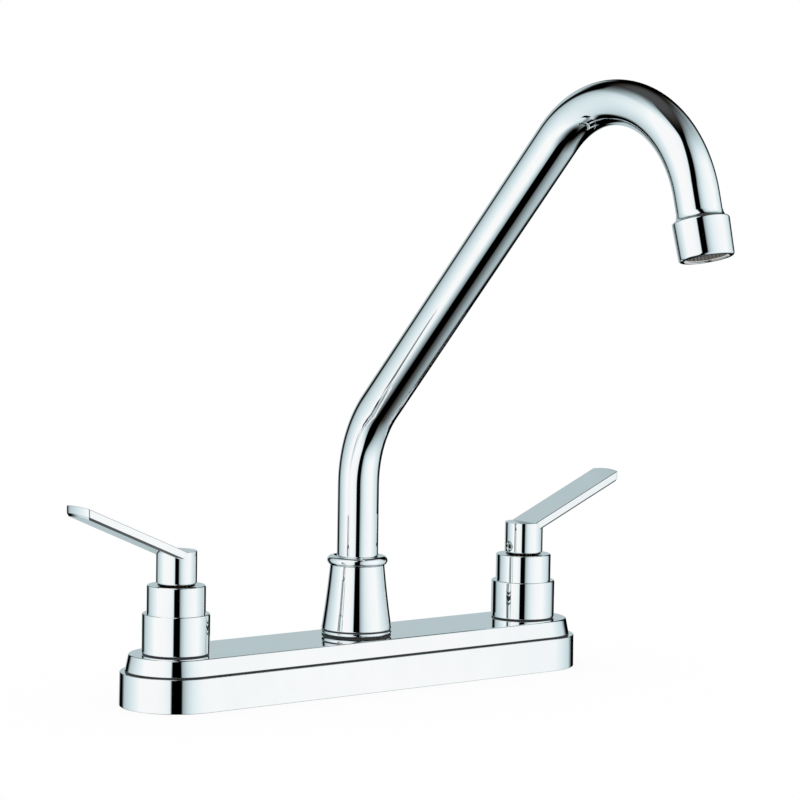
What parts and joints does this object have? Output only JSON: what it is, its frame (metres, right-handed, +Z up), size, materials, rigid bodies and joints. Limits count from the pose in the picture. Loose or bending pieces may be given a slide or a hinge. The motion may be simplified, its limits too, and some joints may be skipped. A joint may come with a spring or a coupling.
{
  "type": "two handle kitchen faucet",
  "caption": "Deck plate kitchen faucet with lever handles on stepped collars and a swivelling high arc spout with an aerator.",
  "frame": {"origin": "on the sink deck, in the gasket's underside, under the spout's swivel axis", "axes": "+X along the deck plate from the hot valve to the cold valve, -Y to the front where the spout reaches, +Z up"},
  "size_m": [0.3108, 0.2619, 0.3304],
  "materials": {
    "chrome_plate": "polished chrome over cast zinc",
    "chrome_tube": "polished chrome over brass tube",
    "chrome_handle": "polished chrome over cast zinc",
    "brass": "machined brass",
    "rubber": "moulded black rubber",
    "ceramic": "lapped white ceramic",
    "nylon": "white acetal",
    "nut_plastic": "black glass filled nylon",
    "zinc": "zinc plated steel",
    "steel": "stainless steel"
  },
  "bodies": {
    "base": {"deck_plate": "chrome_plate", "deck_gasket": "rubber", "waterway": "brass", "shank_left": "brass", "shank_right": "brass", "washer_left": "zinc", "washer_right": "zinc", "locknut_left": "nut_plastic", "locknut_right": "nut_plastic", "seat_seal_left": "rubber", "seat_seal_right": "rubber", "fixed_disc_left": "ceramic", "fixed_disc_right": "ceramic", "cartridge_left": "brass", "cartridge_right": "brass", "collar_left": "chrome_plate", "collar_right": "chrome_plate", "spout_flange": "chrome_plate", "spout_cone": "chrome_plate", "thrust_washer": "nylon", "spout_bushing": "nylon"},
    "spout": {"spout_tube": "chrome_tube", "spout_nipple": "brass", "spout_ring_upper": "rubber", "spout_ring_lower": "rubber", "outlet_adapter": "chrome_tube", "aerator_housing": "chrome_tube", "aerator_washer": "rubber", "aerator_insert": "nylon", "aerator_screen": "steel"},
    "hot_handle": {"handle_left": "chrome_handle", "set_screw_left": "steel", "stem_left": "brass", "stem_ring_left": "rubber", "turning_disc_left": "ceramic"},
    "cold_handle": {"handle_right": "chrome_handle", "set_screw_right": "steel", "stem_right": "brass", "stem_ring_right": "rubber", "turning_disc_right": "ceramic"}
  },
  "joints": [
    {"name": "spout_swivel", "type": "hinge", "parent": "base", "child": "spout", "pos_m": [0, 0, 0.05], "axis": [0, 0, 1], "continuous": true},
    {"name": "hot_handle_turn", "type": "hinge", "parent": "base", "child": "hot_handle", "pos_m": [-0.1016, 0, 0.06], "axis": [0, 0, 1], "range_deg": [0, 90]},
    {"name": "cold_handle_turn", "type": "hinge", "parent": "base", "child": "cold_handle", "pos_m": [0.1016, 0, 0.06], "axis": [0, 0, 1], "range_deg": [-90, 0]}
  ]
}
